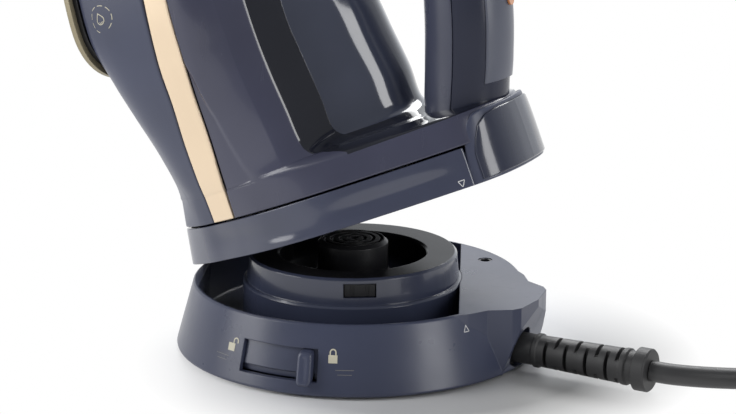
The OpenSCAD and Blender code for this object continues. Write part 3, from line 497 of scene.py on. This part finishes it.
def body_panel(name, u_span, v_span, counts, proud, thick, finish_used, size=0.4, dent=None):
    """Panel of the iron's skin. body() is the inner face of the shells, which are SHELL thick."""
    us = lines(*u_span, counts[0], 0.05, (7, 8, 9, 13, 14, 15))
    vs = lines(*v_span, counts[1], 0.025, (2,))
    u, v = np.meshgrid(us, vs)
    skin, out = body(u, v), body_out(u, v)
    height = SHELL + proud - lip(us, vs, size)
    if dent:
        height = height - dent(u, v)
    outside = skin + out * height[..., None]
    inside = skin + out * (SHELL - thick)
    return wall(name, iron_place(outside), iron_place(inside), finish_used), us, vs


def scoops(u, v):
    """Two shallow finger scoops on each side of the heel band."""
    a = np.abs(u)
    near = 1.1 * np.exp(-((a - 5.2) / 1.5) ** 4 - ((v - 0.5 + 0.05 * (a - 5.2)) / 0.24) ** 2)
    rear = 0.8 * np.exp(-((a - 8.3) / 0.85) ** 4 - ((v - 0.48) / 0.16) ** 2)
    return near + rear


def flank_dip(u, v):
    """Shallow dip beside the gold strip, below a line that runs from the strip down to the ledge."""
    a = np.minimum(u, ROUND - u)
    line = np.interp(v, [2, 4.5, 5.4, 6.4, 7.5, 8.2, 9], [6.3, 6.2, 6.06, 5.9, 5.4, 4.9, 4.4])
    across = np.clip((line - a) / 0.28, 0, 1)
    along_it = np.clip((v - 1.6) / 2.4, 0, 1)
    return 0.9 * across * across * (3 - 2 * across) * along_it


lower = body_panel("lower_skin", (-3.96, 3.96), (1.03, 15.99), (120, 260), 0, 2.0, navy)[0]
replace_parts(lower, "lower_shell")
upper, upper_u, upper_v = body_panel("upper_skin", (5.04, 16.96), (1.03, 15.99), (240, 300), 0, 2.0,
                                      side_gloss, dent=flank_dip)
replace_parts(upper, "upper_shell")
upper.data.materials.append(well_painted_shade)
upper.data.materials.append(deck)
# The ledge and the sides of the hand gap's well are painted near-black, as painted shade and dark reflection
# in the hollow, and the deck between them is lighter
columns = len(upper_u) - 1
for face in upper.data.polygons[:columns * (len(upper_v) - 1)]:
    far_u = abs((upper_u[face.index % columns] + upper_u[face.index % columns + 1]) / 2 - ROUND / 2)
    at_v = upper_v[face.index // columns]
    on_ledge = 2 <= at_v < 4.5
    if at_v >= 2 and far_u < 3:
        face.material_index = 1 if far_u > 2 or on_ledge else 2
band = body_panel("heel_band_skin", (-9.6, 9.6), (0, 0.97), (300, 40), 0, 1.9, band_gloss, dent=scoops)[0]
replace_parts(band, "heel_band")
strip_near = body_panel("gold_strip_near", (4.01, 4.99), (1.04, 14.6), (14, 240), 0.15, 1.1, gold, 0.25)[0]
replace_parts(strip_near, "gold_strips")
body_panel("gold_strip_far", (17.01, 17.99), (1.04, 14.6), (14, 240), 0.15, 1.1, gold, 0.25)

# Rounded end that closes the nose
nose_rows = []
tip_count = 88
tip_u = np.arange(tip_count) * ROUND / tip_count
tip_v = np.full(tip_count, 15.98)
tip = body(tip_u, tip_v) + body_out(tip_u, tip_v) * (SHELL - 0.1)
middle = tip.mean(0)
# Each ring of the end: its size beside the tip's outline, and how far it rises
for share, rise in ((1.0, 0.0), (0.93, 0.7), (0.78, 1.35), (0.5, 1.9), (0.2, 2.1)):
    nose_rows.append(middle + (tip - middle) * share * 0.985 + np.array([0, 0, rise]))
nose_points = np.concatenate([*nose_rows, (middle + np.array([0, 0, 2.15]))[None]])
nose_faces = []
for k in range(len(nose_rows) - 1):
    for i in range(tip_count):
        n = (i + 1) % tip_count
        below, above = k * tip_count, (k + 1) * tip_count
        nose_faces.append((below + i, below + n, above + n, above + i))
last_row, tip_point = (len(nose_rows) - 1) * tip_count, len(nose_rows) * tip_count
for i in range(tip_count):
    nose_faces.append((last_row + i, last_row + (i + 1) % tip_count, tip_point))
mesh_piece("nose_end", iron_place(nose_points), nose_faces, gloss, "iron")

# ---- Handle ----
# Along its length: x, height, half depth, half width, lean of the section
handle_at = [(134.5, 29.2, 17.6, 18, 0), (137, 36, 17.4, 17.4, 5), (141.5, 47, 17.2, 17, 12),
             (148, 65, 17, 17, 15.5), (154, 88, 16.5, 16.5, 11.5), (157.5, 112, 16, 16, 4.5),
             (157.5, 136, 15.5, 16, -5), (153, 158, 15.5, 16.5, -18), (142, 178, 16, 17, -33),
             (125, 193.5, 15.5, 17, -47), (106, 204.5, 14.5, 16.5, -56), (88, 212.5, 13.5, 15.5, -62),
             (71, 218.5, 12.5, 14.5, -68)]


def handle(u, v):
    """Outer face of the handle, u degrees round it from the side away from the sole, v stations along."""
    h = along(handle_at, v)
    a, lean = np.radians(u), np.radians(h[..., 4])
    depth = h[..., 2] * np.cos(a)
    return np.stack([h[..., 0] + depth * np.cos(lean), -h[..., 3] * np.sin(a),
                     h[..., 1] - depth * np.sin(lean)], -1)


def handle_out(u, v):
    step, back = np.minimum(v + 0.02, 12), np.maximum(v - 0.02, 0)
    return -unit(np.cross(handle(u + 0.5, v) - handle(u - 0.5, v), handle(u, step) - handle(u, back)))


def collar_sink(skin):
    """The skin sinks under the two buttons' collar, so that they can be pressed."""
    h = along(handle_at, np.array(BUTTONS_AT))
    lean = math.radians(h[4])
    start = (h[0] + h[2] * math.cos(lean), h[1] - h[2] * math.sin(lean))
    run = (skin[..., 0] - start[0]) * math.sin(lean) + (skin[..., 2] - start[1]) * math.cos(lean)
    rise = (skin[..., 0] - start[0]) * math.cos(lean) - (skin[..., 2] - start[1]) * math.sin(lean)
    radius, fade, depth = 8.3, 0.9, 3.9
    away = np.hypot(run - np.clip(run, *BUTTON_ENDS), skin[..., 1])
    share = np.clip((radius - away) / fade, 0, 1) * (rise > -9)
    return depth * share * share * (3 - 2 * share)


def handle_panel(name, u_span, v_span, counts, proud, thick, finish_used, size=0.4):
    us = lines(*u_span, counts[0], 1.6)
    vs = lines(*v_span, counts[1], 0.025)
    u, v = np.meshgrid(us, vs)
    skin, out = handle(u, v), handle_out(u, v)
    skin = skin - out * collar_sink(skin)[..., None]
    outside = skin + out * (proud - lip(us, vs, size))[..., None]
    return wall(name, iron_place(outside), iron_place(skin - out * thick), finish_used)


handle_skin = handle_panel("handle_skin", (-88.4, 88.4), (0, 12), (110, 220), 0, 2.4, handle_gloss)
grip_skin = handle_panel("grip_skin", (89.2, 270.8), (0, 12), (70, 220), 0, 2.4, rubber_grip)
inlay_skin = handle_panel("inlay_skin", (-44, 44), (1.2, 6.4), (40, 120), 0.9, 0, inlay_satin, 0.5)
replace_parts(handle_skin, "handle_shell")
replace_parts(grip_skin, "handle_grip")
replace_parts(inlay_skin, "grip_inlay")

# ---- Rear cap and its raised panel ----
# Half of the cap's plan as x and half width, ending at its middle, and its arch as x and height
cap_plan = [(134, 33.2), (140.6, 30.6), (146, 27), (150, 22), (152.6, 15.6), (154, 8), (154.4, 0)]
cap_arch = np.array([(139.8, 2.4), (140.3, 7), (141.4, 14), (143, 20), (145, 25), (147.5, 27.6), (150, 28.4)])


def cap_panel(name, reach, low, arch_in, proud, depth, round_top, finish_used):
    ts = lines(-reach, reach, 110, 0.05)
    hs = lines(0, 1, 44, 0.02)
    t, h = np.meshgrid(ts, hs)
    u = 6 - np.abs(t)
    p = along(cap_plan, u)
    ahead = along(cap_plan, np.minimum(u + 0.05, 6)) - along(cap_plan, np.maximum(u - 0.05, 0))
    n = unit(np.stack([-ahead[..., 1], ahead[..., 0]], -1))
    top = np.interp(p[..., 0] - arch_in, cap_arch[:, 0], cap_arch[:, 1]) - arch_in / 2
    z = low + (top - low) * h
    grids = []
    for d in (proud - round_top * h ** 5 - lip(ts, hs, 0.4), np.full(t.shape, -depth)):
        side = np.sign(t) * (p[..., 1] + n[..., 1] * d)
        grids.append(np.stack([p[..., 0] + n[..., 0] * d, side, z], -1))
    return wall(name, iron_place(grids[0]), iron_place(grids[1]), finish_used)


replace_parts(cap_panel("rear_cap_skin", 5.08, 1.6, 0, 0, 2.2, 0.8, navy), "rear_cap")
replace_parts(cap_panel("cap_panel_skin", 4.3, 2.6, 3, 0.9, -0.1, 0.5, gloss), "cap_panel")


# ---- Printed marks ----
def on_base(angle, height):
    def place(x, y):
        z = height + y
        r = base_r(z) + 0.06
        a = math.radians(angle) + x / r
        return (r * math.cos(a), r * math.sin(a), z)
    return place


def on_body(u0, v0, turn):
    u0, v0 = np.array([u0]), np.array([v0])
    du = np.linalg.norm(body(u0 + 0.01, v0) - body(u0 - 0.01, v0)) / 0.02
    dv = np.linalg.norm(body(u0, v0 + 0.01) - body(u0, v0 - 0.01)) / 0.02
    c, s = math.cos(math.radians(turn)), math.sin(math.radians(turn))

    def place(x, y):
        u = u0 + (c * x - s * y) / du
        v = v0 + (s * x + c * y) / dv
        return tuple(iron_place(body(u, v) + body_out(u, v) * (SHELL + 0.07))[0])
    return place


def ribbon(line, width):
    """Flat strip along a line of points, as quads."""
    line = np.asarray(line, float)
    ahead = unit(np.gradient(line, axis=0))
    side = np.stack([-ahead[:, 1], ahead[:, 0]], -1) * width / 2
    a, b = line + side, line - side
    return [[a[i], a[i + 1], b[i + 1], b[i]] for i in range(len(line) - 1)]


def arc(cx, cy, r, a0, a1, steps=16):
    turns = np.radians(np.linspace(a0, a1, steps))
    return [(cx + r * math.cos(t), cy + r * math.sin(t)) for t in turns]


def bar(x0, y0, x1, y1, steps=8):
    xs = np.linspace(x0, x1, steps)
    return [[(xs[i], y0), (xs[i + 1], y0), (xs[i + 1], y1), (xs[i], y1)] for i in range(steps - 1)]


def padlock(open_by):
    free_end = 0.2 if open_by else -0.2
    shackle = [(-1.1 + open_by, -0.2)] + arc(open_by, 0.9, 1.1, 180, 0) + [(1.1 + open_by, free_end)]
    return bar(-1.75, -3.1, 1.75, -0.1) + ribbon(shackle, 0.5)


def outline_triangle(size):
    corners = [(0, size * 0.58), (size * 0.5, -size * 0.42), (-size * 0.5, -size * 0.42)]
    line = []
    for k in range(3):
        line += ribbon(np.linspace(corners[k], corners[(k + 1) % 3], 5), 0.3)
    return line


def marks(name, shapes, place, ink, body_name):
    points, faces = [], []
    for shape in shapes:
        start = len(points)
        points += [place(float(x), float(y)) for x, y in shape]
        faces.append(tuple(range(start, start + len(shape))))
    mesh = bpy.data.meshes.new(name)
    mesh.from_pydata([tuple(c / 1000 for c in p) for p in points], [], faces)
    mesh.materials.append(ink)
    piece = bpy.data.objects.new(name, mesh)
    scene.collection.objects.link(piece)
    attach(piece, body_name)


marks("open_lock_mark", padlock(1.9), on_base(-108.2, 16), print_ink, "base")
marks("closed_lock_mark", padlock(0), on_base(-72.3, 17), print_ink, "base")
marks("base_arrow", outline_triangle(2.5), on_base(-27, 22.4), white_ink, "base")
marks("heel_arrow", outline_triangle(2.5), on_body(9.38, 0.2, 180), white_ink, "iron")
rules = bar(-3.6, 0.5, 3.6, 0.64) + bar(-2.8, -1.2, 2.8, -1.06)
marks("lock_rules_left", rules, on_base(-111.6, 10.2), rule_ink, "base")
marks("lock_rules_right", rules, on_base(-68.6, 10.8), rule_ink, "base")
drop = [(0, 2.6)] + arc(0, -0.3, 1.7, 40, -220, 22) + [(0, 2.6)]
badge = ribbon(drop, 0.34) + ribbon(arc(0, -0.5, 0.9, 200, 320, 8), 0.28)
for start in range(-70, 250, 40):
    badge += ribbon(arc(0, 0, 5.2, start, start + 26, 8), 0.3)
marks("steam_badge", badge, on_body(3.1, 9.24, 12), print_ink, "iron")

# ---- Studio ----
floor_mesh = bpy.data.meshes.new("studio_floor")
far_edge = 9
floor_corners = [(x * far_edge, y * far_edge, 0) for x, y in ((-1, -1), (1, -1), (1, 1), (-1, 1))]
floor_mesh.from_pydata(floor_corners, [], [(0, 1, 2, 3)])
floor = bpy.data.objects.new("studio_floor", floor_mesh)
scene.collection.objects.link(floor)
floor.location.z = -0.0001
floor_look, floor_tree, floor_shader = material("studio_floor")
link(floor_tree, spread(floor_tree, noise(floor_tree, 3), 0.28, 0.34), floor_shader.inputs["Roughness"])
paper = two_tone(floor_tree, noise(floor_tree, 2), (0.8, 0.8, 0.81), (0.84, 0.84, 0.85))
# The paper is painted darker towards the right of the base, a painted shadow, and fades to plain white all
# round
aside = floor_tree.nodes.new("ShaderNodeVectorMath")
aside.operation = "DOT_PRODUCT"
aside.inputs[1].default_value = (0.98, -0.2, 0)
floor_place = floor_tree.nodes.new("ShaderNodeTexCoord")
link(floor_tree, floor_place.outputs["Object"], aside.inputs[0])
shade = floor_tree.nodes.new("ShaderNodeMix")
shade.data_type = "RGBA"
shade.inputs["B"].default_value = (0.28, 0.28, 0.275, 1)
link(floor_tree, spread(floor_tree, aside.outputs["Value"], 0, 1, 0.03, 0.11), shade.inputs["Factor"])
link(floor_tree, paper, shade.inputs["A"])
link(floor_tree, shade.outputs["Result"], floor_shader.inputs["Base Color"])
far = floor_tree.nodes.new("ShaderNodeEmission")
far.inputs["Color"].default_value = (1, 1, 1, 1)
reach = floor_tree.nodes.new("ShaderNodeVectorMath")
reach.operation = "DISTANCE"
reach.inputs[1].default_value = (0.03, -0.005, 0)
blend = floor_tree.nodes.new("ShaderNodeMixShader")
link(floor_tree, floor_place.outputs["Object"], reach.inputs[0])
link(floor_tree, spread(floor_tree, reach.outputs["Value"], 0, 1, 0.072, 0.115), blend.inputs["Fac"])
link(floor_tree, floor_shader.outputs["BSDF"], blend.inputs[1])
link(floor_tree, far.outputs["Emission"], blend.inputs[2])
link(floor_tree, blend.outputs["Shader"], floor_tree.nodes["Material Output"].inputs["Surface"])
floor_mesh.materials.append(floor_look)

world = bpy.data.worlds.new("studio")
world.use_nodes = True
scene.world = world
sky = world.node_tree
seen = sky.nodes["Background"]
seen.inputs["Color"].default_value = (1, 1, 1, 1)
lit = sky.nodes.new("ShaderNodeBackground")
lit.inputs["Color"].default_value = (0.93, 0.96, 1, 1)
# Brighter behind the object and to its left than in front of it
facing = sky.nodes.new("ShaderNodeTexCoord")
leaning = sky.nodes.new("ShaderNodeVectorMath")
leaning.operation = "DOT_PRODUCT"
leaning.inputs[1].default_value = (-0.35, 0.9, -0.25)
link(sky, facing.outputs["Generated"], leaning.inputs[0])
link(sky, spread(sky, leaning.outputs["Value"], 0.26, 1.0, -0.2, 0.9), lit.inputs["Strength"])
ray = sky.nodes.new("ShaderNodeLightPath")
either = sky.nodes.new("ShaderNodeMixShader")
link(sky, ray.outputs["Is Camera Ray"], either.inputs["Fac"])
link(sky, lit.outputs["Background"], either.inputs[1])
link(sky, seen.outputs["Background"], either.inputs[2])
link(sky, either.outputs["Shader"], sky.nodes["World Output"].inputs["Surface"])


def softbox(name, at, aim, width, height, power):
    data = bpy.data.lights.new(name, "AREA")
    data.shape = "RECTANGLE"
    data.size = width
    data.size_y = height
    data.energy = power
    lamp = bpy.data.objects.new(name, data)
    lamp.location = at
    lamp.rotation_mode = "QUATERNION"
    lamp.rotation_quaternion = (Vector(aim) - Vector(at)).to_track_quat("-Z", "Y")
    scene.collection.objects.link(lamp)


softbox("key_left", (-0.95, -0.75, 0.6), (0, 0, 0.12), 0.7, 1.0, 12)
softbox("top_back", (-0.15, 0.95, 1.0), (0.02, 0, 0.1), 1.2, 0.6, 17)
softbox("fill_right", (1.3, -0.35, 0.5), (0, 0, 0.1), 0.5, 0.9, 7)
